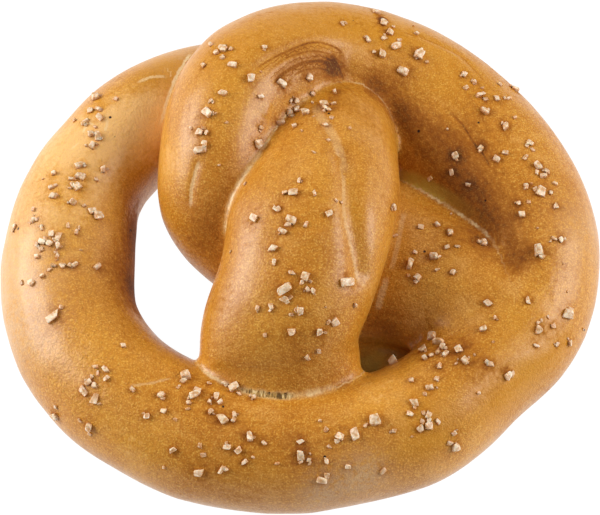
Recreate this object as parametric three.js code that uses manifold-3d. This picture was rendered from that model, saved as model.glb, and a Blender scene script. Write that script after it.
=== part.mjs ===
// A salted soft pretzel. One rope of dough is laid round in a loop and twisted once, and its two ends
// are pressed down onto the loop, so that the strands bake into one piece with a flat underside.
// Coarse salt is baked into the crust.
import * as THREE from "three";
import { mergeVertices } from "three/addons/utils/BufferGeometryUtils.js";
import Module from "manifold-3d";

// Driving dimensions, in millimetres. The loop lies in X and Y, and +Z is up.
const ROPE_WIDTH = 27; // an even stretch of the rope, side to side
const ROPE_HEIGHT = 25; // the same stretch, if its underside were round
const SALT_SMALLEST = 0.85; // across a crystal
const SALT_LARGEST = 1.6;
const SALT_LANDMARK = 1.9; // the few crystals that stand out

// Shares and counts.
const SALT_LENGTHS = [0.85, 1.35]; // a crystal's shortest and longest length, as shares of its size
const SALT_WIDTHS = [0.7, 0.95];
const SALT_HEIGHTS = [0.6, 0.95];
const SALT_SUNK = 0.3; // share of a crystal's height that is baked into the crust
const SALT_BIAS = 1.6; // above 1, small crystals outnumber large ones
const SALT_UNEVEN = 0.26; // how far a crystal's corners stray from a cube's
const SALT_TILT = 0.45; // radians, how far a crystal leans from the crust
const SALT_STEEPEST = 0.12; // a crystal rolls off where the crust's normal has less +Z than this
const SALT_SPACING = 0.52; // nearest that two crystals lie, as a share of their sizes together
const SALT_SEED = 20;
const PINCH_EDGE = [0.35, 1.7]; // how near and far a pinch's edge wavers, as shares of its spread
const CORNER_DRAWS = 24; // random draws for a crystal's corners: three for each
const SHAPE_DRAWS = 5; // and for its length, height, turn and lean
const SIDES = 18; // facets round the rope
const RINGS = 4; // rings of facets from one point of the route to the next
const CAP_RINGS = 4; // rings of facets over a rounded end
const CRUST_COLOUR = 0xc98a3a;

// The rope's route. Each row is a place that the middle of the rope passes (x, y, z), and its
// width and height there, as shares of an even stretch.
const RIGHT_ARM = [
  [42, -14.5, 12.5, 1, 0.8], // its end, pressed onto the loop
  [30, -6, 10.8, 1.22, 0.88],
  [17.5, 0.4, 8.5, 1.42, 0.84], // under the top strand
  [4, 2, 8.5, 1.34, 0.76],
  [-8.5, 5.5, 11, 1.11, 0.88],
  [-15.8, 10.5, 17, 1, 1], // rises beside the left opening
  [-17, 19.5, 23, 0.92, 1],
  [-14, 29.5, 25.5, 0.94, 1], // crosses over the loop's other end
  [-7, 37.5, 24, 1, 1],
  [6, 44, 17.5, 1.04, 1],
];
const LOOP = [
  [24, 40.5, 12, 1.1, 1],
  [35.5, 28, 10.3, 1.25, 1],
  [44, 15.5, 10, 1.2, 1],
  [49, 1.5, 10, 1.04, 1], // right
  [45.5, -14.5, 10, 1.03, 1],
  [36.4, -26, 10, 0.94, 1],
  [21.3, -37.5, 10, 0.97, 1],
  [0, -42.5, 10, 1.01, 1], // front
  [-20.8, -39.2, 10, 1.01, 1],
  [-36.7, -30.2, 10, 1, 1],
  [-46, -17.5, 10, 1.02, 1],
  [-48.5, -2, 10, 1.04, 1], // left
  [-46, 16.8, 10, 0.93, 0.99],
  [-36.6, 30.6, 9.8, 0.92, 0.95],
];
const TOP_STRAND = [
  [-25.5, 38, 9, 0.99, 0.84], // dives under the arm
  [-13, 41, 8, 1.04, 0.72],
  [-1, 36, 11, 1, 0.84],
  [6.5, 25.5, 18, 0.98, 0.96], // comes up inside the loop
  [5.9, 12, 24.5, 1.13, 0.98],
  [2.6, -0.5, 27, 1.26, 0.98], // highest
  [-0.3, -11.5, 24.8, 1.21, 0.98],
  [-3.5, -20.4, 20.5, 1.21, 0.96],
  [-3.8, -26.8, 16, 1.25, 0.82], // its end, pressed onto the loop
];

// Dough squeezed out at the foot of the pit between the arm, the loop and the top strand's end: its
// middle and its half sizes.
const PIT_FLOOR = [
  [16.5, -21.5, 1.5],
  [10, 6.5, 6],
];

// Salt falls in pinches: the middle of each (x, y), how far it spreads along X and Y, and how many
// crystals stick.
const PINCHES = [
  [-43, 27, 5, 7, 10],
  [-47, 14, 6, 6, 10],
  [-51, -5, 6, 10, 28],
  [-41, -34, 8, 7, 10],
  [-20, -38, 9, 7, 15],
  [-13, -49, 12, 4, 8],
  [6, -47, 11, 6, 10],
  [25, -42, 9, 6, 10],
  [29, -28, 10, 6, 19],
  [47, -18, 9, 9, 10],
  [50, 0, 5, 7, 5],
  [49, 16, 5, 9, 12],
  [39, 33, 7, 6, 10],
  [21, 45, 11, 6, 11],
  [-15, 35, 7, 5, 6],
  [-19, 19, 5, 10, 8],
  [0, 24, 9, 9, 21],
  [-2, -4, 9, 8, 10],
  [-1, -21, 9, 8, 15],
  [27, -4, 8, 8, 10],
  [33, 17, 6, 6, 4],
];
const LANDMARKS = [
  [32, -26],
  [49, -4],
  [25, 42],
  [22, 38],
  [-23, -32],
  [-21, -36],
  [27, -21],
  [50, 10],
  [19, -26],
  [-50, -19],
  [15, -42],
  [-42, 5],
  [-3, -19],
  [1, -17],
  [9, -17],
  [-20, -51],
  [47, -33],
  [31, -45],
];

const UP = new THREE.Vector3(0, 0, 1);
const OVERHEAD = 4 * ROPE_HEIGHT; // a height above the whole pretzel
const TRAY_WIDTH = 10 * ROPE_WIDTH;

const wasm = await Module();
wasm.setup();
const { Manifold, Mesh } = wasm;
const { clamp, lerp } = THREE.MathUtils;

// A closed three.js geometry as a solid that can be joined and cut.
function solidOf(geometry) {
  const bare = geometry.clone();
  bare.deleteAttribute("normal");
  bare.deleteAttribute("uv");
  const merged = mergeVertices(bare);
  return new Manifold(
    new Mesh({
      numProp: 3,
      vertProperties: merged.attributes.position.array,
      triVerts: new Uint32Array(merged.index.array),
    }),
  );
}

// A solid as flat-shaded geometry.
function geometryOf(solid) {
  const mesh = solid.getMesh();
  const geometry = new THREE.BufferGeometry();
  geometry.setAttribute("position", new THREE.BufferAttribute(mesh.vertProperties, 3));
  geometry.setIndex(new THREE.BufferAttribute(mesh.triVerts, 1));
  const flat = geometry.toNonIndexed();
  flat.computeVertexNormals();
  return flat;
}

// The joined dough without the hollows that joining seals and without loose scraps: its largest body.
function wholeOf(solid) {
  return solid.decompose().reduce((a, b) => (a.volume() > b.volume() ? a : b));
}

const ROUTE = [...RIGHT_ARM, ...LOOP, ...TOP_STRAND];
const path = new THREE.CatmullRomCurve3(
  ROUTE.map(([x, y, z]) => new THREE.Vector3(x, y, z)),
  false,
  "catmullrom",
);
const girth = new THREE.CatmullRomCurve3(
  ROUTE.map(([, , , wide, high]) => new THREE.Vector3(wide * ROPE_WIDTH, high * ROPE_HEIGHT, 0)),
  false,
  "catmullrom",
);

// A stretch of the rope between two points of the route: a capsule bent along the path. Its rounded
// ends lie inside the next stretch, or close the rope.
function strand(first, last) {
  const geometry = new THREE.CapsuleGeometry(1, 1, CAP_RINGS, SIDES, (last - first) * RINGS);
  const position = geometry.attributes.position;
  for (let i = 0; i < position.count; i += 1) {
    const up = position.getY(i);
    const along = clamp(up + 0.5, 0, 1);
    const beyond = up + 0.5 - along;
    const t = (first + along * (last - first)) / (ROUTE.length - 1);
    const tangent = path.getTangent(t);
    const side = new THREE.Vector3().crossVectors(tangent, UP).normalize();
    const crown = new THREE.Vector3().crossVectors(side, tangent);
    const { x: width, y: height } = girth.getPoint(t);
    const place = path.getPoint(t);
    place.addScaledVector(tangent, (beyond * (width + height)) / 4);
    place.addScaledVector(side, (position.getX(i) * width) / 2);
    place.addScaledVector(crown, (position.getZ(i) * height) / 2);
    position.setXYZ(i, place.x, place.y, place.z);
  }
  return solidOf(geometry);
}

// The three stretches of dough and the pit's floor, joined, and baked flat where they lie on the tray.
function dough() {
  const armEnd = RIGHT_ARM.length;
  const loopEnd = armEnd + LOOP.length - 1;
  const strands = [strand(0, armEnd), strand(armEnd, loopEnd), strand(loopEnd, ROUTE.length - 1)];
  const [middle, halves] = PIT_FLOOR;
  const floor = new THREE.SphereGeometry(1, SIDES, SIDES / 2);
  floor.scale(...halves);
  floor.translate(...middle);
  const tray = new THREE.BoxGeometry(TRAY_WIDTH, TRAY_WIDTH, TRAY_WIDTH);
  tray.translate(0, 0, -TRAY_WIDTH / 2);
  return wholeOf(Manifold.union([...strands, solidOf(floor)]).subtract(solidOf(tray)));
}

// A repeatable source of numbers from 0 to 1.
function seededRandom(seed) {
  let state = seed;
  return () => {
    state = (state * 48271) % 2147483647;
    return state / 2147483647;
  };
}

// Every crystal as its place and size and the draws that shape it. Landmarks come first, so that a
// pinch leaves room for them.
function scatter() {
  const random = seededRandom(SALT_SEED);
  const draws = () => Array.from({ length: CORNER_DRAWS + SHAPE_DRAWS }, random);
  const drawn = (x, y, size) => ({ x, y, size, draws: draws() });
  const crystals = LANDMARKS.map(([x, y]) => drawn(x, y, SALT_LANDMARK));
  for (const [middleX, middleY, spreadX, spreadY, count] of PINCHES) {
    for (let i = 0; i < count; i += 1) {
      const turn = 2 * Math.PI * random();
      const reach = Math.sqrt(random()) * lerp(...PINCH_EDGE, random());
      const size = lerp(SALT_SMALLEST, SALT_LARGEST, random() ** SALT_BIAS);
      const x = middleX + spreadX * reach * Math.cos(turn);
      const y = middleY + spreadY * reach * Math.sin(turn);
      crystals.push(drawn(x, y, size));
    }
  }
  return crystals;
}

// One crystal: a cube with uneven corners, a little longer one way, leaning on the crust.
function crystalGeometry({ size, draws }, place, normal) {
  const bare = new THREE.BoxGeometry(1, 1, 1);
  bare.deleteAttribute("normal");
  bare.deleteAttribute("uv");
  const crystal = mergeVertices(bare);
  const corners = crystal.attributes.position;
  for (let i = 0; i < corners.array.length; i += 1) {
    corners.array[i] += SALT_UNEVEN * lerp(-1, 1, draws[i]);
  }
  const [stretch, rise, spin, leanX, leanY] = draws.slice(CORNER_DRAWS);
  const height = size * lerp(...SALT_HEIGHTS, rise);
  crystal.scale(size * lerp(...SALT_LENGTHS, stretch), size * lerp(...SALT_WIDTHS, spin), height);
  crystal.translate(0, 0, (0.5 - SALT_SUNK) * height);
  crystal.rotateX(SALT_TILT * (leanX - 0.5));
  crystal.rotateY(SALT_TILT * (leanY - 0.5));
  crystal.rotateZ(2 * Math.PI * spin);
  crystal.applyQuaternion(new THREE.Quaternion().setFromUnitVectors(UP, normal));
  return crystal.translate(place.x, place.y, place.z);
}

// The crystals that find a place on the crust, each clear of those before it.
function salt(crust) {
  const surface = new THREE.Mesh(geometryOf(crust));
  const down = UP.clone().negate();
  const settled = [];
  for (const crystal of scatter()) {
    const above = new THREE.Vector3(crystal.x, crystal.y, OVERHEAD);
    const [hit] = new THREE.Raycaster(above, down).intersectObject(surface);
    if (!hit || hit.face.normal.z < SALT_STEEPEST) continue;
    const isNear = ({ place, size }) => place.distanceTo(hit.point) < SALT_SPACING * (size + crystal.size);
    if (settled.some(isNear)) continue;
    settled.push({ ...crystal, place: hit.point, normal: hit.face.normal });
  }
  return settled.map((crystal) => solidOf(crystalGeometry(crystal, crystal.place, crystal.normal)));
}

// Stands the pretzel on Z = 0 with its middle over the origin.
function centred(geometry) {
  geometry.computeBoundingBox();
  const { min, max } = geometry.boundingBox;
  return geometry.translate(-(min.x + max.x) / 2, -(min.y + max.y) / 2, -min.z);
}

function pretzel() {
  const crust = dough();
  const salted = wholeOf(Manifold.union([crust, ...salt(crust)]));
  const material = new THREE.MeshStandardMaterial({ color: CRUST_COLOUR, roughness: 0.45, metalness: 0 });
  const mesh = new THREE.Mesh(centred(geometryOf(salted)), material);
  mesh.name = "pretzel";
  return mesh;
}

const part = new THREE.Group();
part.add(pretzel());

export default part;
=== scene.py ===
import math

import bmesh
import bpy
import numpy as np
from mathutils import Matrix, Vector, noise
from mathutils.bvhtree import BVHTree


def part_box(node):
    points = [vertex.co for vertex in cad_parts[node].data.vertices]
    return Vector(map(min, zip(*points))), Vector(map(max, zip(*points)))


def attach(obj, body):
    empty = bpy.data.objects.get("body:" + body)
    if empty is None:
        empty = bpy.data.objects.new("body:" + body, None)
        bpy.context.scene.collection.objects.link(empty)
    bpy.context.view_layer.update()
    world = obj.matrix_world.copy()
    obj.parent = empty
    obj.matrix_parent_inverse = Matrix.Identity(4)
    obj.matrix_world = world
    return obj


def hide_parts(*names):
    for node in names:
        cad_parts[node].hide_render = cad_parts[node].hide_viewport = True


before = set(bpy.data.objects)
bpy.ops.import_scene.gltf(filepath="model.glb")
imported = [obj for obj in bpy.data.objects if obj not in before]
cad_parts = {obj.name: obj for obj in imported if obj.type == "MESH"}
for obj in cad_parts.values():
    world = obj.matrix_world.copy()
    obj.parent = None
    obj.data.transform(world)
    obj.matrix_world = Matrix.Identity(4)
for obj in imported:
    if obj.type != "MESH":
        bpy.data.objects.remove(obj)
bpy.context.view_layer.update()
MM = 0.001


# ------------------------------------------------------------------------------------------------
# The rope of dough. Wheat dough is rolled into one rope, laid round in a loop and twisted once, and
# its two ends are pressed onto the loop. Each row of the route is a place that the middle of the
# rope passes and its width and height there, as shares of an even stretch. Millimetres.
ROPE_WIDTH = 27.0
ROPE_HEIGHT = 25.0
ROPE_SIDES = 64
RINGS_PER_STRETCH = 12
CAP_RINGS = 12
RIGHT_ARM = [
    (42, -14.5, 12.5, 1, 0.8),  # its end, pressed onto the loop
    (30, -6, 10.8, 1.22, 0.88),
    (17.5, 0.4, 8.5, 1.42, 0.84),  # under the top strand
    (4, 2, 8.5, 1.34, 0.76),
    (-8.5, 5.5, 11, 1.11, 0.88),
    (-15.8, 10.5, 17, 1, 1),  # rises beside the left opening
    (-17, 19.5, 23, 0.92, 1),
    (-14, 29.5, 25.5, 0.94, 1),  # crosses over the loop's other end
    (-7, 37.5, 24, 1, 1),
    (6, 44, 17.5, 1.04, 1),
]
LOOP = [
    (24, 40.5, 12, 1.1, 1),
    (35.5, 28, 10.3, 1.25, 1),
    (44, 15.5, 10, 1.2, 1),
    (49, 1.5, 10, 1.04, 1),  # right
    (45.5, -14.5, 10, 1.03, 1),
    (36.4, -26, 10, 0.94, 1),
    (21.3, -37.5, 10, 0.97, 1),
    (0, -42.5, 10, 1.01, 1),  # front
    (-20.8, -39.2, 10, 1.01, 1),
    (-36.7, -30.2, 10, 1, 1),
    (-46, -17.5, 10, 1.02, 1),
    (-48.5, -2, 10, 1.04, 1),  # left
    (-46, 16.8, 10, 0.93, 0.99),
    (-36.6, 30.6, 9.8, 0.92, 0.95),
]
TOP_STRAND = [
    (-25.5, 38, 9, 0.99, 0.84),  # dives under the arm
    (-13, 41, 8, 1.04, 0.72),
    (-1, 36, 11, 1, 0.84),
    (6.5, 25.5, 18, 0.98, 0.96),  # comes up inside the loop
    (5.9, 12, 24.5, 1.13, 0.98),
    (2.6, -0.5, 27, 1.26, 0.98),  # highest
    (-0.3, -11.5, 24.8, 1.21, 0.98),
    (-3.5, -20.4, 20.5, 1.21, 0.96),
    (-3.8, -26.8, 16, 1.25, 0.82),  # its end, pressed onto the loop
]
ROUTE = np.array(RIGHT_ARM + LOOP + TOP_STRAND, float)
LAST = len(ROUTE) - 1
PIT_FLOOR = (16.5, -21.5, 1.5), (10, 6.5, 6)  # squeezed out between strands: middle, half sizes


def row_at(rows, t):
    """The row at t, counted in rows, on a Catmull-Rom curve through them."""
    last = len(rows) - 1
    i = min(int(t), last - 1)
    f = t - i
    here, there = rows[i], rows[i + 1]
    before = rows[i - 1] if i > 0 else 2 * here - there
    after = rows[i + 2] if i < last - 1 else 2 * there - here
    cubic = 3 * (here - there) + after - before
    square = 2 * before - 5 * here + 4 * there - after
    return here + f / 2 * ((there - before) + f * (square + f * cubic))


def section(t, beyond=0.0):
    """Where the rope's section at t lies: its middle, its three axes and its half sizes. Past an end
    of the rope, beyond runs from -1 or 1 at the tip to 0, and the section shrinks like a dome's."""
    row = row_at(ROUTE, t)
    step = 0.01
    ahead = row_at(ROUTE, min(t + step, LAST))[:3] - row_at(ROUTE, max(t - step, 0))[:3]
    along = Vector(ahead).normalized()
    side = along.cross(Vector((0, 0, 1))).normalized()
    crown = side.cross(along)
    half_wide, half_high = row[3] * ROPE_WIDTH / 2, row[4] * ROPE_HEIGHT / 2
    middle = Vector(row[:3]) + along * beyond * (half_wide + half_high) / 2
    dome = math.sqrt(1 - beyond * beyond)
    return middle, side, crown, along, half_wide * dome, half_high * dome


def section_matrix(t, beyond=0.0):
    """Takes a unit circle in X and Y to the rope's section, in metres."""
    middle, side, crown, along, half_wide, half_high = section(t, beyond)
    columns = Matrix((side * half_wide, crown * half_high, along)).transposed().to_4x4()
    return Matrix.Scale(MM, 4) @ Matrix.Translation(middle) @ columns


def rope_mesh():
    """A disc drawn along the route, section by section, with domed ends."""
    domes = [math.cos(math.radians(90) * k / CAP_RINGS) for k in range(1, CAP_RINGS)]
    places = [(0, -share) for share in domes]
    places += [(t / RINGS_PER_STRETCH, 0) for t in range(LAST * RINGS_PER_STRETCH + 1)]
    places += [(LAST, share) for share in reversed(domes)]
    bm = bmesh.new()
    bmesh.ops.create_circle(bm, cap_ends=True, segments=ROPE_SIDES, radius=1)
    end = bm.faces[:][0]
    lies = section_matrix(*places[0])
    bmesh.ops.transform(bm, matrix=lies, verts=bm.verts[:])
    for place in places[1:]:
        grown = bmesh.ops.extrude_face_region(bm, geom=[end])["geom"]
        end = [piece for piece in grown if isinstance(piece, bmesh.types.BMFace)][0]
        moves = section_matrix(*place)
        bmesh.ops.transform(bm, matrix=moves @ lies.inverted(), verts=end.verts[:])
        lies = moves
    sides = {"u_segments": ROPE_SIDES, "v_segments": ROPE_SIDES // 2}
    floor = bmesh.ops.create_uvsphere(bm, radius=MM, **sides)["verts"]
    lies = Matrix.Translation(Vector(PIT_FLOOR[0]) * MM) @ Matrix.Diagonal((*PIT_FLOOR[1], 1))
    bmesh.ops.transform(bm, matrix=lies, verts=floor)
    bmesh.ops.recalc_face_normals(bm, faces=bm.faces[:])
    for vertex in bm.verts:
        vertex.co.z = max(vertex.co.z, 0)
    mesh = bpy.data.meshes.new("dough")
    bm.to_mesh(mesh)
    bm.free()
    return mesh


# In the oven the strands swell against each other and bake into one piece, so the rope is remeshed
# as one skin. The hollows sealed inside are dropped, and the skin is smoothed, most of all where an
# end of the rope has melted into the loop.
VOXEL = 0.69 * MM
SMOOTHING = {"factor": 0.5, "use_axis_x": True, "use_axis_y": True, "use_axis_z": True}
SKIN_SMOOTHING = 3  # times
MELTED = [  # place and reach of each melted spot, and how often it is smoothed
    ((39, -15, 19), 13, 40),
    ((33, -21, 17), 9, 30),
    ((-5, 24, 30), 8, 14),
]


def baked_together(mesh):
    """The rope's overlapping strands as one skin."""
    rope = bpy.data.objects.new("rope", mesh)
    bpy.context.scene.collection.objects.link(rope)
    skin = rope.modifiers.new("skin", "REMESH")
    skin.mode = "VOXEL"
    skin.voxel_size = VOXEL
    bpy.context.view_layer.update()
    evaluated = rope.evaluated_get(bpy.context.evaluated_depsgraph_get())
    baked = bpy.data.meshes.new_from_object(evaluated)
    bpy.data.objects.remove(rope)
    return baked


def without_inner_shells(bm):
    """Keeps the skin that holds the highest vertex, and drops the hollows sealed inside it."""
    outer = {max(bm.verts, key=lambda vertex: vertex.co.z)}
    front = list(outer)
    while front:
        vertex = front.pop()
        for edge in vertex.link_edges:
            other = edge.other_vert(vertex)
            if other not in outer:
                outer.add(other)
                front.append(other)
    inner = [vertex for vertex in bm.verts if vertex not in outer]
    bmesh.ops.delete(bm, geom=inner, context="VERTS")


baked = baked_together(rope_mesh())
dough_bm = bmesh.new()
dough_bm.from_mesh(baked)
without_inner_shells(dough_bm)
for _ in range(SKIN_SMOOTHING):
    bmesh.ops.smooth_vert(dough_bm, verts=dough_bm.verts[:], **SMOOTHING)
for place, reach, times in MELTED:
    middle = Vector(place) * MM
    near = [vertex for vertex in dough_bm.verts if (vertex.co - middle).length < reach * MM]
    for _ in range(times):
        bmesh.ops.smooth_vert(dough_bm, verts=near, **SMOOTHING)
dough_mesh = bpy.data.meshes.new("dough")
dough_bm.to_mesh(dough_mesh)
dough_bm.free()


# How each point of the skin lies in the rope: how far along and round its strand it is, and how
# near the next strand is. Where two strands met, the crust never browned.
SECTION_STEP = 0.15  # in rows of the route
OWN_STRETCH = 45.0  # mm of rope each way that count as the same strand
SHALLOWEST = 0.25  # sine of the angle under which two strands meet, at least
FAR = 99.0  # mm
CHUNK = 4000  # points worked out at once


def coordinates(mesh):
    """The mesh's vertices as an array, in millimetres."""
    flat = np.zeros(len(mesh.vertices) * 3)
    mesh.vertices.foreach_get("co", flat)
    return flat.reshape(-1, 3) / MM


def normals(mesh):
    """The mesh's vertex normals as an array."""
    flat = np.zeros(len(mesh.vertices) * 3, np.float32)
    mesh.vertex_normals.foreach_get("vector", flat)
    return flat.reshape(-1, 3).astype(float)


def place_in_rope(points):
    """For each point, in mm: the gap to the nearest strand other than its own, how far it lies from
    the seam between the two (below 0 on the strand that comes first along the route), and how far
    along and round its own strand it is."""
    sections = [section(t) for t in np.arange(0, LAST + 0.01, SECTION_STEP)]
    middles = np.array([s[0] for s in sections])
    axes = np.array([[s[k] for s in sections] for k in (1, 2, 3)])
    halves = np.array([[s[4] for s in sections], [s[5] for s in sections]])
    halves = np.vstack([halves, halves.mean(axis=0)])
    arc = np.concatenate([[0], np.cumsum(np.linalg.norm(np.diff(middles, axis=0), axis=1))])
    found = np.zeros((len(points), 4))
    for start in range(0, len(points), CHUNK):
        here = points[start:start + CHUNK]
        rows_found = found[start:start + CHUNK]
        rows = np.arange(len(here))
        away = here[:, None] - middles[None]
        shares = np.array([(away * axes[k][None]).sum(2) / halves[k][None] for k in range(3)])
        out = (np.sqrt((shares ** 2).sum(0)) - 1) * halves[2][None]
        own = out.argmin(axis=1)
        out[np.abs(arc[None] - arc[own][:, None]) < OWN_STRETCH] = FAR
        other = out.argmin(axis=1)
        outward = []
        for strand in (own, other):
            pulls = shares[:, rows, strand] / halves[:, strand]
            slope = sum(pulls[k][:, None] * axes[k, strand] for k in range(3))
            outward.append(slope / np.linalg.norm(slope, axis=1)[:, None])
        meeting = np.linalg.norm(np.cross(*outward), axis=1)
        side = np.where(own > other, 1, -1)
        turn = np.arctan2(shares[0, rows, own], shares[1, rows, own])
        rows_found[:, 0] = np.maximum(out[rows, other], 0)
        rows_found[:, 1] = side * rows_found[:, 0] / np.maximum(meeting, SHALLOWEST)
        rows_found[:, 2] = arc[own] + shares[2, rows, own] * halves[2, own]
        rows_found[:, 3] = turn * halves[2, own]
    return found.T


skin = coordinates(dough_mesh)
facing = normals(dough_mesh)
gap, from_seam, along_rope, round_rope = place_in_rope(skin)


# What shaped the crust besides the rope: grooves where the dough was stretched, folds where it was
# bent tight, thumb dents, and the uneven rise of the whole. All of it is pushed along the skin's
# own normals. Places are x and y on the crust seen from above, in millimetres.
SHRUNK = 0.14  # how far the crust shrinks as the bread cools
SWELLS = [  # across each wave of the uneven rise, and how far it pushes
    (34, 0.75),
    (13, 0.3),
    (5, 0.09),
]
FOLDS = [  # depth, half width and the line along the crust
    (-0.5, 2.0, [(3, 26), (4.5, 21), (6.5, 16.5), (8.2, 11), (8.8, 4)]),
    (-1.4, 2.7, [(8, 15), (9.4, 9), (10, 4), (10.4, -3), (11, -8), (12, -13), (12.5, -18)]),
    (-0.3, 1.2, [(-11, 29), (-6, 33.5), (-1.5, 37), (3, 40), (7.5, 40.5), (9.5, 39)]),
    (-0.15, 0.5, [(-8, 28.5), (-4.5, 33), (-1, 35.7), (3.5, 38), (8, 38.5)]),
    (-0.35, 1.0, [(-6, 28), (-3.5, 31), (0, 34), (4.5, 36.3), (8, 36.8)]),
    (-0.15, 0.5, [(-3, 29), (-0.5, 32), (3, 34.2), (6.5, 35.2)]),
    (0.3, 0.9, [(-6.3, 24.5), (-7.2, 21.5)]),
    (-0.3, 0.8, [(-20.5, 12), (-21.5, 9.5), (-22.2, 7), (-22.5, 4)]),
    (-0.3, 0.8, [(31, 29.5), (34, 26.5), (36.5, 22), (38.5, 19), (40, 15.5)]),
    (-0.2, 0.7, [(21.5, 47.5), (26, 46.8), (30, 45.5), (34.5, 43.5), (39, 38)]),
    (-0.3, 1.6, [(29, -24), (32, -21), (35, -18), (38, -16), (42, -13)]),
]
DENTS = [  # x, y, reach and depth
    (9, 36.5, 3.2, 0.7),
    (43, -6, 4, 1.0),
    (-26, -41, 9, 0.35),
    (50, -19, 1.6, -0.3),
    (29.5, 2.5, 1.5, -0.25),
    (2.5, -9, 1.5, -0.25),
    (-10.5, 35.5, 1.3, -0.25),
]
LINE_STEP = 0.25
FOLD_REACH = 3  # half widths
FLAT_BELOW, FREE_ABOVE = 0.3, 4  # heights between which the relief fades into the flat underside
OVERHEAD = 80.0


def smooth_share(value, low, high):
    """0 below low, 1 above high and a smooth rise between."""
    share = np.clip((value - low) / (high - low), 0, 1)
    return share * share * (3 - 2 * share)


def tree_of(points, mesh):
    """A tree for casting rays at the mesh as it stands, in millimetres."""
    return BVHTree.FromPolygons(points.tolist(), [tuple(face.vertices) for face in mesh.polygons])


def below(crust, x, y):
    """The place on the crust straight below a point, and its normal, or None twice."""
    place, normal = crust.ray_cast(Vector((x, y, OVERHEAD)), Vector((0, 0, -1)))[:2]
    return place, normal


def on_crust(crust, line):
    """The line of (x, y) points, rounded out and laid on the crust, as an array."""
    rows = np.array(line, float)
    laid = []
    length = np.linalg.norm(np.diff(rows, axis=0), axis=1).sum()
    for t in np.linspace(0, len(rows) - 1, max(3, int(length / LINE_STEP))):
        place = below(crust, *row_at(rows, t))[0]
        if place:
            laid.append(place)
    return np.array(laid)


def beside(points, facing, line, reach):
    """For the points within reach of the line: their numbers, how far to its left they lie, in mm,
    and the share of the line passed there."""
    low, high = line.min(axis=0) - reach, line.max(axis=0) + reach
    near = np.nonzero(((points > low) & (points < high)).all(axis=1))[0]
    away = points[near, None] - line[None]
    distance = np.linalg.norm(away, axis=2)
    closest = distance.argmin(axis=1)
    rows = np.arange(len(near))
    along = np.gradient(line, axis=0)[closest]
    left = np.cross(facing[near], along)
    side = np.sign((away[rows, closest] * left).sum(axis=1))
    distance = distance[rows, closest]
    kept = distance < reach
    return near[kept], (side * distance)[kept], (closest / (len(line) - 1))[kept]


def taper(share, ends=0.12):
    """1 along a line, falling to 0 at its two ends."""
    return smooth_share(share, 0, ends) * smooth_share(1 - share, 0, ends)


crust = tree_of(skin, dough_mesh)
push = np.full(len(skin), -SHRUNK)
for across, depth in SWELLS:
    push += depth * np.array([noise.noise(Vector(point) / across) for point in skin])
for depth, half_width, line in FOLDS:
    near, side, share = beside(skin, facing, on_crust(crust, line), FOLD_REACH * half_width)
    push[near] += depth * np.exp(-(side / half_width) ** 2) * taper(share)
for x, y, reach, depth in DENTS:
    place = np.array(below(crust, x, y)[0])
    push -= depth * np.exp(-(np.linalg.norm(skin - place, axis=1) / reach) ** 2)
push *= smooth_share(skin[:, 2], FLAT_BELOW, FREE_ABOVE)
skin = skin + facing * push[:, None]
skin[:, 2] = np.maximum(skin[:, 2], 0)
dough_mesh.vertices.foreach_set("co", (skin * MM).ravel())
dough_mesh.update()
facing = normals(dough_mesh)
crust = tree_of(skin, dough_mesh)


# How the crust baked, with painted light and shade laid in. It is paler on its outer rims and where
# strands touched, and browner on the inner slopes and wherever a fold held the heat. The pale rims
# are partly painted light, and the dark inner slopes, hollows and folds are partly painted shade.
# Each point of the skin keeps these as attributes.
# The browner spots on the inner slopes, in the hollows and in the pit are partly painted shade, and
# the paler spots on the left and at the back are partly painted light.
BROWNING_AND_SHADE = [  # place, reach and how much browner (or paler, below 0) than the rest
    ((30, 22, 20), 9, 0.3),
    ((36, 11, 19), 8, 0.35),
    ((41, 2, 19), 6, 0.3),
    ((-15, 7, 29), 6, 0.08),
    ((-20, 0, 22), 7, 0.18),
    ((8.5, 35.5, 30), 3.4, 0.75),
    ((1, 35, 33), 6, 0.2),
    ((16, 34, 25), 4, 0.4),
    ((21, 30.5, 20), 4.5, 0.35),
    ((34, -29, 20), 8, 0.16),
    ((9, -33, 19), 4, 0.2),
    ((0, -45, 21), 9, 0.1),
    ((18, -15, 13), 6, 0.12),
    ((13.5, -23.5, 6), 3.5, 0.9),
    ((17, -17.5, 13), 4, 0.15),
    ((8, 27, 32), 5, 0.2),
    ((-17, -43, 21), 6, 0.12),
    ((-17, -18, 24), 6, 0.12),
    ((16, 19, 28), 6, 0.1),
    ((35, -3, 19), 6, 0.1),
    ((50, -23, 18), 7, 0.14),
    ((25, -43, 22), 6, 0.08),
    ((41, -34, 19), 6, 0.1),
    ((18, 6, 26), 5, 0.15),
    ((-17, -14, 20), 5, 0.15),
    ((-36, 5, 13), 8, 0.45),
    ((-35, -9, 13), 8, 0.45),
    ((0, -31, 28), 6, 0.15),
    ((44, -6, 21), 3.5, 0.35),
    ((17.5, 50.5, 25), 1.2, 0.7),
    ((-58, 0, 18), 13, -0.3),
    ((-50, 20, 20), 13, -0.3),
    ((-46, -28, 21), 9, -0.15),
    ((-38, -27, 22), 6, -0.05),
    ((-33, -42, 15), 8, -0.18),
    ((-41, 5, 22), 7, -0.25),
    ((-36, 30, 20), 6, -0.2),
    ((-29, 29, 18), 7, -0.5),
    ((-26, 42, 17), 8, -0.3),
    ((-42, 22, 20), 9, -0.35),
    ((-25, 15, 27), 5, -0.3),
    ((34, -45, 14), 7, -0.2),
    ((-25, 7, 17), 5, -0.12),
    ((-2, -24, 31), 7, -0.1),
    ((-14, 22, 33), 7, -0.12),
    ((2, 6, 38), 7, -0.08),
    ((26, -6, 20), 8, -0.06),
    ((18, -37, 22), 9, -0.15),
    ((53, -15, 20), 7, -0.08),
    ((45, -28, 20), 8, -0.12),
]
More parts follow.
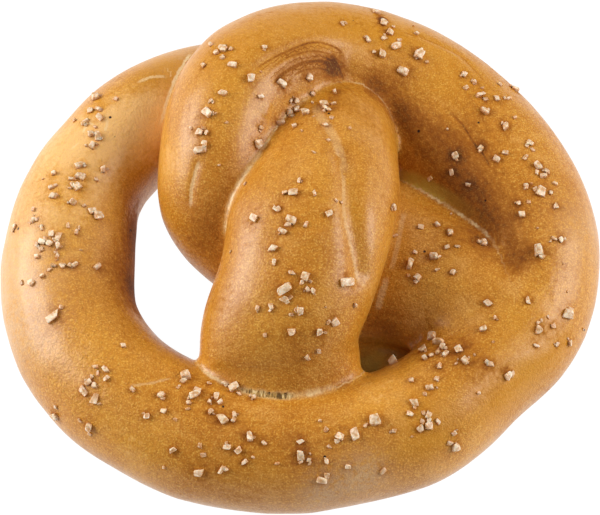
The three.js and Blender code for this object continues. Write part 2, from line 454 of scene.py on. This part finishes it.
PALE_LINES = [  # strength, half width and the line, where the crust split or never browned
    (0.22, 1.3, [(3, 26), (4.5, 21), (6.5, 16.5), (8.2, 11), (8.8, 6)]),
    (0.25, 0.6, [(8.2, 11), (8.8, 4), (8.8, -3), (9.8, -8), (11, -13), (11.8, -17)]),
    (0.5, 0.5, [(-20.5, 12), (-21.5, 9.5), (-22.2, 7), (-22.5, 4)]),
    (0.6, 0.5, [(-34.5, 37.5), (-32, 39), (-28.5, 39.5)]),
    (1.0, 0.5, [(-23.5, 48), (-24.8, 44), (-26.3, 40), (-27.4, 35.5), (-28.5, 31.5), (-29.7, 27)]),
    (0.25, 0.7, [(21.8, 8), (21.2, 5), (20.7, 2), (20, -1.5), (19.3, -4.5), (18.6, -7)]),
    (0.4, 0.9, [(17.9, -8), (17.1, -10.5), (16.4, -12.5), (15.9, -14.2)]),
    (0.5, 0.35, [(-40.5, 27.5), (-41, 24.5)]),
    (0.5, 0.35, [(-45.5, 24.5), (-45, 27), (-43, 26.5)]),
    (0.4, 0.35, [(-48, 20.5), (-46.5, 22)]),
    (0.28, 0.35, [(-34, -34.5), (-30, -34), (-25.5, -32.5)]),
]
# Along the folds the crust is browner, and the creases are darkened with painted shade.
BROWN_AND_SHADED_LINES = [
    (0.5, 0.35, [(-11, 29), (-6, 33.5), (-1.5, 37), (3, 40), (7.5, 40.5), (9.5, 39)]),
    (0.45, 0.5, [(-6, 28), (-3.5, 31), (0, 34), (4.5, 36.3), (8, 36.8)]),
    (0.3, 0.3, [(-8, 28.5), (-4.5, 33), (-1, 35.7), (3.5, 38), (8, 38.5)]),
    (0.3, 0.3, [(-3, 29), (-0.5, 32), (3, 34.2), (6.5, 35.2)]),
    (0.35, 0.4, [(5.5, 38.5), (7.5, 37.5), (8.5, 36), (9.5, 34)]),
    (0.4, 0.3, [(31, 29.5), (34, 26.5), (36.5, 22), (38.5, 19), (40, 15.5)]),
    (0.4, 0.35, [(21.5, 47.5), (26, 46.8), (30, 45.5), (34.5, 43.5), (39, 38)]),
    (0.3, 0.5, [(25.5, -15), (26, -17.5), (27.5, -21)]),
]
SEAMS = [  # place, reach, strength and half width of the pale crumb that shows between two strands
    ((-13, 6, 27), 12, 0.85, 1.0),
    ((-6, 22, 29), 9, 0.85, 0.9),
    ((12, 29, 27), 8, 0.6, 0.4),
    ((19, 17, 22), 7, 0.25, 0.3),
    ((-27, 28, 16), 14, 0.75, 0.5),
    ((31, 9, 16), 13, 0.8, 0.45),
    ((-16, -29, 18), 9, 0.8, 0.6),
    ((-3, -36, 18), 10, 0.9, 1.0),
    ((10, -31, 18), 7, 0.45, 0.35),
    ((17, 3, 16), 9, 0.5, 1.2),
]
SEAM_REACH, SEAM_FADES = 6, (2.4, 3.6)  # mm to each side, and where it fades
LINE_REACH, LINE_FADES = 4, (2.2, 3.4)  # the same of a drawn line
BESIDE_NONE = 9  # mm, for a point beside no drawn line
UNDERSIDE = 0.2, 2.5  # heights between which the dull underside turns into crust
TORN = ((-8, -34, 18), 8)  # place and reach of the torn crumb with open pores
RAW_WALLS = ((25, 15, 15), 9)  # place and reach of the dough that stayed raw beside a seam
RAW_BAND, RAW_FADES = 3.8, 1.5  # mm from the seam, and over how many it fades
RAW_PIT = ((16, -21, 6), 6)
RAW_IN_PIT = 0.75
GILDED = [  # place, reach and strength of the clear yellow where the glaze is thick
    ((-4, 50, 24), 16, 0.9),
    ((20, 49, 20), 13, 0.7),
    ((37, 38, 18), 10, 0.5),
    ((-28, 43, 18), 9, 0.8),
    ((-17, 33, 32), 9, 0.6),
    ((-57, 18, 12), 8, 0.4),
    ((8, 27, 32), 6, 0.5),
    ((16, 19, 28), 6, 0.5),
    ((9, -4, 36), 6, 0.5),
    ((-17, -18, 24), 7, 0.6),
    ((50, -23, 18), 8, 0.8),
    ((41, -34, 19), 8, 0.8),
    ((25, -43, 22), 7, 0.7),
]
PAINTED_SHEEN_SPOTS = [  # place, reach and strength of the painted sheen, a pale reflection painted on the glaze
    ((-60, -4, 12), 12, 0.5),
    ((-57, -20, 14), 10, 0.35),
    ((5, -55, 15), 5, 0.45),
    ((13, -52, 17), 5, 0.45),
    ((58, 4, 14), 8, 0.25),
]
WRINKLED = [  # place, reach and strength of the glaze that wrinkled as it dried
    ((-46, -27, 20), 13, 1.0),
    ((-52, 6, 20), 9, 0.5),
    ((52, -12, 20), 10, 0.7),
    ((0, 36, 33), 8, 0.5),
]


def keep(mesh, name, values):
    """Stores one number, or one row of three, for each vertex of the mesh."""
    kind, field = ("FLOAT", "value") if values.ndim == 1 else ("FLOAT_VECTOR", "vector")
    attribute = mesh.attributes.new(name, kind, "POINT")
    attribute.data.foreach_set(field, values.astype(np.float32).ravel())


def drawn_lines(lines):
    """For each point of the skin: how far to the left of the nearest line, its strength, its half
    width. Strength is 0 away from the lines."""
    drawn = np.zeros((len(skin), 3))
    drawn[:, 0] = BESIDE_NONE
    for strength, half_width, line in lines:
        near, side, share = beside(skin, facing, on_crust(crust, line), LINE_REACH)
        nearer = np.abs(side) < np.abs(drawn[near, 0])
        near, side, share = near[nearer], side[nearer], share[nearer]
        drawn[near, 0] = side
        drawn[near, 1] = strength * taper(share) * (1 - smooth_share(np.abs(side), *LINE_FADES))
        drawn[near, 2] = half_width
    return drawn


def near_to(place, reach):
    """1 at the place, falling off smoothly with distance, for each point of the skin."""
    return np.exp(-(np.linalg.norm(skin - place, axis=1) / reach) ** 2)


def spots(listed):
    """The listed spots together, for each point of the skin."""
    return sum(amount * near_to(place, reach) for place, reach, amount in listed)


seams = np.zeros((len(skin), 3))
seams[:, 0] = np.clip(from_seam, -SEAM_REACH, SEAM_REACH)
for place, reach, strength, half_width in SEAMS:
    here = strength * near_to(place, reach)
    stronger = here > seams[:, 1]
    seams[stronger, 1] = here[stronger]
    seams[stronger, 2] = half_width
seams[:, 1] *= 1 - smooth_share(np.abs(from_seam), *SEAM_FADES)
raw = near_to(*RAW_WALLS) * smooth_share(from_seam, 0, 0.3)
raw *= 1 - smooth_share(from_seam, RAW_BAND - RAW_FADES, RAW_BAND)
keep(dough_mesh, "browning_and_shade", spots(BROWNING_AND_SHADE))
keep(dough_mesh, "painted_sheen", spots(PAINTED_SHEEN_SPOTS))
keep(dough_mesh, "gilded", spots(GILDED))
keep(dough_mesh, "gap", gap)
keep(dough_mesh, "raw", np.clip(raw + RAW_IN_PIT * near_to(*RAW_PIT), 0, 1))
keep(dough_mesh, "seam", seams)
keep(dough_mesh, "rope", np.stack([along_rope, round_rope, np.zeros(len(skin))], axis=1))
keep(dough_mesh, "torn", near_to(*TORN))
keep(dough_mesh, "wrinkled", spots(WRINKLED))
keep(dough_mesh, "pale_line", drawn_lines(PALE_LINES))
keep(dough_mesh, "brown_and_shade_line", drawn_lines(BROWN_AND_SHADED_LINES))
keep(dough_mesh, "underside", 1 - smooth_share(skin[:, 2], *UNDERSIDE))


# Baked wheat crust: brushed with lye before baking, so it is a thin amber to brown glaze over pale
# crumb. It gives the eye a fine grain, soft broad highlights, mottling, pinholes and a browner rim
# round each crystal of salt, partly painted shadow. Painted shade and sheen also lie in its colour.
CRUMB, PALE_CRUST, GOLDEN, AMBER = "#EFD3A0", "#E9B570", "#CE8C2A", "#B8741B"
DEEP_BROWN, SCORCHED, RAW_WALL, PINHOLE = "#91500D", "#5E2E08", "#BDA045", "#2E1606"
# The last colour of the next line is a painted sheen, laid in pale patches on the glaze.
GRAIN_LIGHT, GRAIN_DARK, PAINTED_SHEEN_PATCH = "#F0C05C", "#8A500F", "#D9A35A"
THREAD, TORN_CRUMB, TORN_HOLE = "#EBCD93", "#A87F3C", "#66481B"
# The first colour is a painted reflection, a pale sheen laid on the rims; the second is the thick
# glaze.
PAINTED_SHEEN_COLOUR, GLAZE = "#D6BA98", "#C98710"
STREAK_LENGTH, STREAK_WIDTH = 13, 1.1  # mm, along and round the rope
PORES_APART = 6.5  # mm
THREADS = (2000, 500, 500)  # to the metre, across them and along
THREADS_TURNED = 0.5  # radians


def linear(colour):
    """An sRGB hex colour as linear red, green, blue and alpha."""
    shares = [int(colour[k:k + 2], 16) / 255 for k in (1, 3, 5)]
    return [s / 12.92 if s <= 0.04045 else ((s + 0.055) / 1.055) ** 2.4 for s in shares] + [1]


def add(tree, kind, inputs=(), stops=(), **settings):
    """Adds a node of this kind, with its settings, its inputs (a value, or a socket to link) and,
    on a ramp, its colours."""
    node = tree.nodes.new("ShaderNode" + kind)
    for name, value in settings.items():
        setattr(node, name, value)
    for place, value in dict(inputs).items():
        if isinstance(value, bpy.types.NodeSocket):
            tree.links.new(value, node.inputs[place])
        else:
            node.inputs[place].default_value = value
    for k, (at, colour) in enumerate(stops):
        element = node.color_ramp.elements[k] if k < 2 else node.color_ramp.elements.new(at)
        element.position = at
        element.color = linear(colour)
    return node


def baked_crust():
    """The crust's material."""
    material = bpy.data.materials.new("baked_wheat_crust")
    material.use_nodes = True
    tree = material.node_tree
    tree.nodes.clear()
    place = add(tree, "TexCoord").outputs["Object"]

    def measure(name):
        return add(tree, "Attribute", attribute_name=name).outputs["Fac"]

    def rows_of(name):
        return add(tree, "Attribute", attribute_name=name).outputs["Vector"]

    def speckle(size, detail=2.0):
        """Noise with blobs about this size in mm, from 0 to 1."""
        scale = 1 / (size * MM)
        inputs = {"Vector": place, "Scale": scale, "Detail": detail, "Roughness": 0.55}
        return add(tree, "TexNoise", inputs).outputs["Fac"]

    def sum_of(first, second, times=1.0):
        """first + second x times."""
        inputs = {0: second, 1: times, 2: first}
        return add(tree, "Math", inputs, operation="MULTIPLY_ADD").outputs[0]

    def times(first, second):
        return add(tree, "Math", {0: first, 1: second}, operation="MULTIPLY").outputs[0]

    def between(value, low, high, to_low=0.0, to_high=1.0):
        """A smooth step from to_low at low to to_high at high."""
        inputs = {"Value": value, "From Min": low, "From Max": high}
        inputs.update({"To Min": to_low, "To Max": to_high})
        return add(tree, "MapRange", inputs, interpolation_type="SMOOTHSTEP").outputs["Result"]

    def mixed(share, first, second):
        inputs = {0: share, 6: first, 7: second}
        return add(tree, "Mix", inputs, data_type="RGBA").outputs[2]

    mottle, blotch = speckle(11, 3), speckle(3.2, 2)
    grain, frost = speckle(0.36, 1), speckle(1.0, 2)
    drawn_out = {0: rows_of("rope"), 1: (1 / STREAK_LENGTH, 1 / STREAK_WIDTH, 0)}
    lies = add(tree, "VectorMath", drawn_out, operation="MULTIPLY").outputs[0]
    streak = add(tree, "TexNoise", {"Vector": lies, "Scale": 1.0, "Detail": 3.0}).outputs["Fac"]

    def line(name, ragged, core=0.4, reach=1.1):
        """How strongly a drawn line shows: full to its core and gone at its reach, both as shares
        of its half width, with ragged sides."""
        side, strength, half_width = add(tree, "SeparateXYZ", {0: rows_of(name)}).outputs
        off = add(tree, "Math", {0: side}, operation="ABSOLUTE").outputs[0]
        off = sum_of(off, sum_of(-0.5, frost), ragged)
        share = add(tree, "Math", {0: off, 1: half_width}, operation="DIVIDE").outputs[0]
        return times(between(share, core, reach, 1, 0), strength)

    # How far each point is baked, from 0 to 1, with painted shade and light from the listed spots,
    # the lines along the folds and the rings round the salt.
    bake_and_shade = sum_of(0.47, measure("browning_and_shade"))
    bake_and_shade = sum_of(bake_and_shade, sum_of(-0.5, mottle), 0.34)
    bake_and_shade = sum_of(bake_and_shade, sum_of(-0.5, blotch), 0.14)
    bake_and_shade = sum_of(bake_and_shade, sum_of(-0.5, streak), 0.24)
    bake_and_shade = sum_of(bake_and_shade, sum_of(-0.5, frost), 0.4)
    bake_and_shade = sum_of(bake_and_shade, between(measure("gap"), 0.6, 3.2, 1, 0), -0.06)
    # The fold lines darken the crust with painted shade as well as browning.
    bake_and_shade = sum_of(bake_and_shade, line("brown_and_shade_line", 0.5), 0.4)
    bake_and_shade = sum_of(bake_and_shade, measure("underside"), 0.12)
    # The ring round each crystal: browner crust and painted shadow.
    bake_and_shade = sum_of(bake_and_shade, times(measure("browned_and_shaded_by_salt"), between(blotch, 0.35, 0.6, 0.3, 1)), 0.3)
    stops = [(0, PALE_CRUST), (0.3, GOLDEN), (0.55, AMBER), (0.8, DEEP_BROWN), (1, SCORCHED)]
    colour = add(tree, "ValToRGB", {0: bake_and_shade}, stops).outputs["Color"]

    # The grain of the glaze, painted sheen in pale patches, where the glaze is thick, and painted
    # reflections in pale spots.
    light_grain = times(between(grain, 0.5, 0.75), between(bake_and_shade, 0.45, 0.8, 0.45, 0.15))
    colour = mixed(light_grain, colour, linear(GRAIN_LIGHT))
    dark_grain = times(between(grain, 0.25, 0.5, 0.35, 0), between(bake_and_shade, 0.1, 0.45, 0.35, 1))
    colour = mixed(dark_grain, colour, linear(GRAIN_DARK))
    # Painted sheen: pale patches on the paler glaze.
    sheen_patches = times(between(speckle(6.5, 2), 0.5, 0.68, 0, 0.3), between(grain, 0.35, 0.6, 0.35, 1))
    sheen_patches = times(sheen_patches, between(bake_and_shade, 0.4, 0.65, 1, 0.1))
    colour = mixed(sheen_patches, colour, linear(PAINTED_SHEEN_PATCH))
    gilt = times(between(measure("gilded"), 0.0, 1.0), between(bake_and_shade, 0.5, 0.8, 0.8, 0.0))
    colour = mixed(gilt, colour, linear(GLAZE))
    # A painted reflection: pale spots of sheen on the left rim and the front.
    painted_sheen_share = times(measure("painted_sheen"), between(frost, 0.3, 0.6, 0.35, 1))
    colour = mixed(painted_sheen_share, colour, linear(PAINTED_SHEEN_COLOUR))

    # The dough that never browned: walls of a slit, seams, and the torn crumb with its threads.
    raw = times(measure("raw"), between(blotch, 0.2, 0.6, 0.5, 0.9))
    colour = mixed(raw, colour, linear(RAW_WALL))
    seam = line("seam", 0.5, 0.2, 1.4)
    patchy = times(seam, between(blotch, 0.4, 0.58, 0.35, 1))
    pale = {0: patchy, 1: line("pale_line", 0.7)}
    torn = add(tree, "Math", pale, operation="MAXIMUM").outputs[0]
    colour = mixed(times(torn, between(grain, 0.2, 0.6, 0.65, 0.95)), colour, linear(CRUMB))
    pull = {"Vector": place, "Rotation": (0, 0, THREADS_TURNED), "Scale": THREADS}
    pulled = add(tree, "Mapping", pull).outputs[0]
    thread = add(tree, "TexNoise", {"Vector": pulled, "Scale": 1.0, "Detail": 2.0}).outputs["Fac"]
    opened = times(between(measure("torn"), 0.3, 0.6), between(seam, 0.25, 0.6))
    colour = mixed(opened, colour, linear(TORN_CRUMB))
    colour = mixed(times(opened, between(thread, 0.5, 0.62)), colour, linear(THREAD))
    pore = times(opened, between(thread, 0.36, 0.48, 1, 0))
    colour = mixed(pore, colour, linear(TORN_HOLE))

    # Pinholes, where a bubble broke through.
    cells = {"Vector": place, "Scale": 1 / (PORES_APART * MM), "Randomness": 1.0}
    speck = add(tree, "TexVoronoi", cells)
    pinhole = between(speck.outputs["Distance"], 0.035, 0.055, 1, 0)
    rare = add(tree, "SeparateColor", {0: speck.outputs["Color"]}).outputs[0]
    pinhole = times(pinhole, between(rare, 0.5, 0.52))
    colour = mixed(pinhole, colour, linear(PINHOLE))

    # The finish: the glaze is glossiest where it is pale, and dull where it browned or tore.
    roughness = sum_of(0.42, sum_of(-0.5, mottle), 0.16)
    roughness = sum_of(roughness, between(bake_and_shade, 0.5, 0.8), 0.3)
    roughness = sum_of(roughness, torn, 0.3)
    roughness = sum_of(roughness, measure("underside"), 0.3)
    creases = add(tree, "Math", {0: sum_of(-0.5, speckle(1.6))}, operation="ABSOLUTE").outputs[0]
    height = sum_of(grain, frost)
    height = sum_of(height, blotch, 0.6)
    height = sum_of(height, streak, 0.25)
    height = sum_of(height, times(creases, measure("wrinkled")), 6.0)
    height = sum_of(height, pinhole, -1.5)
    height = sum_of(height, pore, -3.0)
    bump = add(tree, "Bump", {"Height": height, "Strength": 1.0, "Distance": 0.12 * MM})
    inputs = {"Base Color": colour, "Roughness": roughness, "Normal": bump.outputs["Normal"]}
    inputs.update({"IOR": 1.47, "Subsurface Weight": 0.04, "Subsurface Scale": 1.2 * MM})
    inputs.update({"Subsurface Radius": (1.0, 0.45, 0.18)})
    inputs.update({"Specular IOR Level": 0.22, "Coat Roughness": 0.32, "Coat IOR": 1.45})
    inputs["Coat Weight"] = between(bake_and_shade, 0.4, 0.75, 0.7, 0.0)
    shader = add(tree, "BsdfPrincipled", inputs)
    add(tree, "OutputMaterial", {"Surface": shader.outputs[0]})
    return material


for polygon in dough_mesh.polygons:
    polygon.use_smooth = True
dough_mesh.materials.append(baked_crust())
dough = bpy.data.objects.new("dough", dough_mesh)
bpy.context.scene.collection.objects.link(dough)
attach(dough, "root")
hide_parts("pretzel")


# ------------------------------------------------------------------------------------------------
# The salt. Coarse crystals of rock salt are dropped on the wet dough in pinches, and bake into the
# crust with their lower third sunk in. Chips and crumbs of them lie round about. Millimetres.
SALT_SMALLEST, SALT_LARGEST, SALT_LANDMARK = 0.85, 1.6, 1.9
SALT_LENGTHS = (0.85, 1.35)  # as shares of a crystal's size
SALT_WIDTHS = (0.7, 0.95)
SALT_HEIGHTS = (0.6, 0.95)
SALT_SUNK = 0.3  # share of its height
SALT_BIAS = 1.6  # more small crystals than large
SALT_UNEVEN = 0.26  # how far a corner strays
SALT_TILT = 0.45  # radians, both ways together
SALT_STEEPEST = 0.12  # upward share of the normal on which a crystal still stays
SALT_SPACING = 0.52  # between two crystals, as a share of their sizes together
SALT_SEED = 20
PINCH_EDGE = (0.35, 1.7)  # the pinch thins out between these shares of its spread
CORNER_DRAWS = 24
SHAPE_DRAWS = 5
PINCHES = [  # middle, spread and how many crystals stick
    (-43, 27, 5, 7, 10),
    (-47, 14, 6, 6, 10),
    (-51, -5, 6, 10, 28),
    (-41, -34, 8, 7, 10),
    (-20, -38, 9, 7, 15),
    (-13, -49, 12, 4, 8),
    (6, -47, 11, 6, 10),
    (25, -42, 9, 6, 10),
    (29, -28, 10, 6, 19),
    (47, -18, 9, 9, 10),
    (50, 0, 5, 7, 5),
    (49, 16, 5, 9, 12),
    (39, 33, 7, 6, 10),
    (21, 45, 11, 6, 11),
    (-15, 35, 7, 5, 6),
    (-19, 19, 5, 10, 8),
    (0, 24, 9, 9, 21),
    (-2, -4, 9, 8, 10),
    (-1, -21, 9, 8, 15),
    (27, -4, 8, 8, 10),
    (33, 17, 6, 6, 4),
]
LANDMARKS = [
    (32, -26), (49, -4), (25, 42), (22, 38), (-23, -32), (-21, -36), (27, -21), (50, 10), (19, -26),
    (-50, -19), (15, -42), (-42, 5), (-3, -19), (1, -17), (9, -17), (-20, -51), (47, -33), (31, -45),
]
CHIP_SIZES = (0.35, 0.75)  # of a chip, as shares of its crystal
CHIP_REACH = 0.42  # from a crystal's middle, as a share of the two sizes together
CRUMB_SIZES = (0.4, 0.95)
CRUMBS_EACH = 0.6  # crumbs to each crystal of a pinch
CHIPPED = 0.55  # share of the crystals that have a chip beside them
BROKEN = (0.05, 0.45)  # how far a corner's break reaches along an edge
WORN_EDGE = 0.07
HALO = 1.25  # reach of the browner crust and painted shadow round a crystal, in sizes of it
SHARP = 0.4  # radians between two faces, above which their edge is worn


def seeded_random(seed):
    """A repeatable source of numbers from 0 to 1."""
    state = seed
    while True:
        state = state * 48271 % 2147483647
        yield state / 2147483647


def lerp(ends, share):
    return ends[0] + (ends[1] - ends[0]) * share


def draws_for(random):
    return [next(random) for _ in range(CORNER_DRAWS + SHAPE_DRAWS)]


def in_pinch(random, pinch):
    """A place drawn inside a pinch."""
    middle_x, middle_y, spread_x, spread_y = pinch[:4]
    turn = 2 * math.pi * next(random)
    reach = math.sqrt(next(random)) * lerp(PINCH_EDGE, next(random))
    x = middle_x + spread_x * reach * math.cos(turn)
    y = middle_y + spread_y * reach * math.sin(turn)
    return x, y


def scatter():
    """Every crystal that was dropped, as x, y, size and the draws that shape it."""
    random = seeded_random(SALT_SEED)
    dropped = [(x, y, SALT_LANDMARK, draws_for(random)) for x, y in LANDMARKS]
    for pinch in PINCHES:
        for _ in range(pinch[4]):
            x, y = in_pinch(random, pinch)
            size = lerp((SALT_SMALLEST, SALT_LARGEST), next(random) ** SALT_BIAS)
            dropped.append((x, y, size, draws_for(random)))
    return dropped


def grow_crystal(bm, place, normal, size, draws, breaks):
    """One crystal: a block with uneven corners, each broken off a little, longer one way, leaning
    on the crust."""
    stretch, rise, spin, lean_x, lean_y = draws[CORNER_DRAWS:]
    length, width = size * lerp(SALT_LENGTHS, stretch), size * lerp(SALT_WIDTHS, spin)
    height = size * lerp(SALT_HEIGHTS, rise)
    shaped = Matrix.Diagonal((length, width, height, 1))
    lifted = Matrix.Translation((0, 0, (0.5 - SALT_SUNK) * height))
    leaning = Matrix.Rotation(SALT_TILT * (lean_y - 0.5), 4, "Y")
    leaning = leaning @ Matrix.Rotation(SALT_TILT * (lean_x - 0.5), 4, "X")
    turned = Matrix.Rotation(2 * math.pi * spin, 4, "Z")
    stands = Vector((0, 0, 1)).rotation_difference(normal).to_matrix().to_4x4()
    standing = Matrix.Scale(MM, 4) @ Matrix.Translation(place) @ stands
    lies = standing @ turned @ leaning @ lifted @ shaped
    corners = {}
    for x in (1, -1):
        for y in (1, -1):
            for z in (x, -x):
                k = 3 * len(corners)
                stray = Vector([SALT_UNEVEN * (2 * draw - 1) for draw in draws[k:k + 3]])
                corners[x, y, z] = Vector((x, y, z)) / 2 + stray
    points = []
    for x, y, z in corners:
        for beside_it in ((-x, y, z), (x, -y, z), (x, y, -z)):
            reach = lerp(BROKEN, next(breaks))
            points.append(bm.verts.new(lies @ corners[x, y, z].lerp(corners[beside_it], reach)))
    hull = bmesh.ops.convex_hull(bm, input=points)
    spare = hull["geom_interior"] + hull["geom_unused"]
    spare = [piece for piece in spare if isinstance(piece, bmesh.types.BMVert)]
    bmesh.ops.delete(bm, geom=spare, context="VERTS")


def settle(dropped, lying):
    """Adds the dropped crystals that find a place on the crust, each clear of those before it."""
    for x, y, size, draws in dropped:
        place, normal = below(crust, x, y)
        if place is None or normal.z < SALT_STEEPEST:
            continue
        if all((place - other[0]).length >= SALT_SPACING * (size + other[2]) for other in lying):
            lying.append((place, normal, size, draws))


def chips_and_crumbs(lying):
    """The small pieces that lie against the crystals and between them."""
    random = seeded_random(SALT_SEED + 1)
    small = []
    for place, _, size, _ in lying:
        chip = size * lerp(CHIP_SIZES, next(random))
        turn = 2 * math.pi * next(random)
        reach = CHIP_REACH * (size + chip)
        x, y = place.x + reach * math.cos(turn), place.y + reach * math.sin(turn)
        draws = draws_for(random)
        if next(random) < CHIPPED:
            small.append((x, y, chip, draws))
    for pinch in PINCHES:
        for _ in range(round(pinch[4] * CRUMBS_EACH)):
            x, y = in_pinch(random, pinch)
            small.append((x, y, lerp(CRUMB_SIZES, next(random)), draws_for(random)))
    return small


crystals = []
settle(scatter(), crystals)
breaks = seeded_random(SALT_SEED + 2)
salt_bm = bmesh.new()
for place, normal, size, draws in crystals:
    grow_crystal(salt_bm, place, normal, size, draws, breaks)
for x, y, size, draws in chips_and_crumbs(crystals):
    place, normal = below(crust, x, y)
    if place is not None and normal.z > SALT_STEEPEST:
        grow_crystal(salt_bm, place, normal, size, draws, breaks)
bmesh.ops.recalc_face_normals(salt_bm, faces=salt_bm.faces[:])
sharp = [edge for edge in salt_bm.edges if edge.calc_face_angle(0) > SHARP]
worn = {"segments": 1, "profile": 0.5, "affect": "EDGES", "material": -1}
bmesh.ops.bevel(salt_bm, geom=sharp, offset=WORN_EDGE * MM, **worn)
salt_mesh = bpy.data.meshes.new("salt")
salt_bm.to_mesh(salt_mesh)
salt_bm.free()


# The wet salt draws the glaze together round each crystal, where it bakes a shade browner, and a
# painted shadow darkens the same ring.
browned_and_shaded_by_salt = np.zeros(len(skin))
for place, _, size, _ in crystals:
    browned_and_shaded_by_salt = np.maximum(browned_and_shaded_by_salt, near_to(np.array(place), HALO * size))
keep(dough_mesh, "browned_and_shaded_by_salt", browned_and_shaded_by_salt)
heights = []
for point in coordinates(salt_mesh):
    nearest, normal = crust.find_nearest(point.tolist())[:2]
    heights.append((Vector(point) - nearest).dot(normal))
keep(salt_mesh, "above_crust", np.array(heights))


# Rock salt: cloudy grains, broken rather than cut, so they scatter light inside and glint on a few
# faces. Where they touch the crust they take some of its colour, and their feet are darkened with
# painted shade.
CLOUD = 0.8  # mm
STAINED_AND_SHADED_UP_TO = 0.6  # mm above the crust
CLOUDY_SALT, SALT_SHADE, STAINED_AND_SHADED_SALT = "#E8D3B6", "#C99C6A", "#B87C3E"


def rock_salt():
    """The salt's material."""
    material = bpy.data.materials.new("rock_salt")
    material.use_nodes = True
    tree = material.node_tree
    tree.nodes.clear()
    place = add(tree, "TexCoord").outputs["Object"]
    clouds = {"Vector": place, "Scale": 1 / (CLOUD * MM), "Detail": 3.0}
    cloud = add(tree, "TexNoise", clouds).outputs["Fac"]
    stops = [(0.38, SALT_SHADE), (0.6, CLOUDY_SALT)]
    colour = add(tree, "ValToRGB", {0: cloud}, stops).outputs["Color"]
    above = add(tree, "Attribute", attribute_name="above_crust").outputs["Fac"]
    rise = {"Value": above, "From Min": 0.0, "From Max": STAINED_AND_SHADED_UP_TO}
    clear = add(tree, "MapRange", rise).outputs["Result"]
    # Near the crust the salt is stained and darkened with painted shade.
    stain_and_shade = {0: clear, 6: linear(STAINED_AND_SHADED_SALT), 7: colour}
    colour = add(tree, "Mix", stain_and_shade, data_type="RGBA").outputs[2]
    bump = add(tree, "Bump", {"Height": cloud, "Strength": 0.6, "Distance": 0.1 * MM})
    inputs = {"Base Color": colour, "Roughness": 0.38, "IOR": 1.544}
    inputs["Normal"] = bump.outputs["Normal"]
    inputs.update({"Subsurface Weight": 0.7, "Subsurface Scale": 0.7 * MM})
    inputs.update({"Subsurface Radius": (1.0, 0.8, 0.6)})
    shader = add(tree, "BsdfPrincipled", inputs)
    add(tree, "OutputMaterial", {"Surface": shader.outputs[0]})
    return material


salt_mesh.materials.append(rock_salt())
salt = bpy.data.objects.new("salt", salt_mesh)
bpy.context.scene.collection.objects.link(salt)
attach(salt, "root")
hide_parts("pretzel")


# The route's own frame is set over the frame of the whole: the middles of the two boxes agree.
def corners_of(meshes):
    """The lowest and highest corner of the meshes together, in metres."""
    points = np.concatenate([coordinates(mesh) for mesh in meshes]) * MM
    return Vector(points.min(axis=0)), Vector(points.max(axis=0))


low, high = corners_of([dough_mesh, salt_mesh])
box_low, box_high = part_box("pretzel")
shift = (Vector(box_low) + Vector(box_high) - low - high) / 2
shift.z = 0
dough_mesh.transform(Matrix.Translation(shift))
salt_mesh.transform(Matrix.Translation(shift))


# ------------------------------------------------------------------------------------------------
# The table: plain white paper, lit from below as well, as a light table is.
FLOOR_SIDE = 3.0
floor_bm = bmesh.new()
bmesh.ops.create_grid(floor_bm, x_segments=1, y_segments=1, size=FLOOR_SIDE / 2)
floor_mesh = bpy.data.meshes.new("floor")
floor_bm.to_mesh(floor_mesh)
floor_bm.free()
paper = bpy.data.materials.new("white_paper")
paper.use_nodes = True
paper.node_tree.nodes.clear()
paper_inputs = {"Base Color": linear("#404040"), "Roughness": 0.9}
paper_inputs.update({"Emission Color": linear("#FFFFFF"), "Emission Strength": 1.0})
paper_shader = add(paper.node_tree, "BsdfPrincipled", paper_inputs)
add(paper.node_tree, "OutputMaterial", {"Surface": paper_shader.outputs[0]})
floor_mesh.materials.append(paper)
floor = bpy.data.objects.new("floor", floor_mesh)
bpy.context.scene.collection.objects.link(floor)


# The light: a soft box on the left and one on the right, a weak one behind that shows in no gloss,
# and white surroundings.
SOFT_BOX_SIDE = 0.4
SOFT_BOXES = [  # name, place, watts and whether it shows in gloss
    ("left_soft_box", (-0.55, 0.1, 0.29), 4.3, True),
    ("right_soft_box", (0.51, 0.03, 0.33), 3.3, True),
    ("fill", (-0.05, 0.5, 0.4), 0.8, False),
]
SURROUNDINGS = 0.26
for name, place, watts, glossy in SOFT_BOXES:
    lamp = bpy.data.lights.new(name, "AREA")
    lamp.energy = watts
    lamp.size = SOFT_BOX_SIDE
    lamp_object = bpy.data.objects.new(lamp.name, lamp)
    lamp_object.location = place
    lamp_object.rotation_euler = Vector(place).to_track_quat("Z", "Y").to_euler()
    lamp_object.visible_glossy = glossy
    bpy.context.scene.collection.objects.link(lamp_object)
world = bpy.data.worlds.new("surroundings")
world.use_nodes = True
background = world.node_tree.nodes["Background"]
background.inputs["Color"].default_value = linear("#FFFFFF")
background.inputs["Strength"].default_value = SURROUNDINGS
bpy.context.scene.world = world
bpy.context.scene.view_settings.view_transform = "Standard"


# The camera looks down on the front of the pretzel.
CAMERA_AIM = Vector((0, 0, 12)) * MM + shift
CAMERA_RISE = math.radians(62)
CAMERA_AWAY = 0.56  # metres
FRAME_WIDTH = 0.125418  # metres across the picture at the aim
lens = bpy.data.cameras.new("camera")
lens.sensor_width = 36
lens.lens = lens.sensor_width * CAMERA_AWAY / FRAME_WIDTH
camera = bpy.data.objects.new("camera", lens)
away = Vector((0, -math.cos(CAMERA_RISE), math.sin(CAMERA_RISE)))
camera.location = CAMERA_AIM + away * CAMERA_AWAY
camera.rotation_euler = away.to_track_quat("Z", "Y").to_euler()
bpy.context.scene.collection.objects.link(camera)
bpy.context.scene.camera = camera
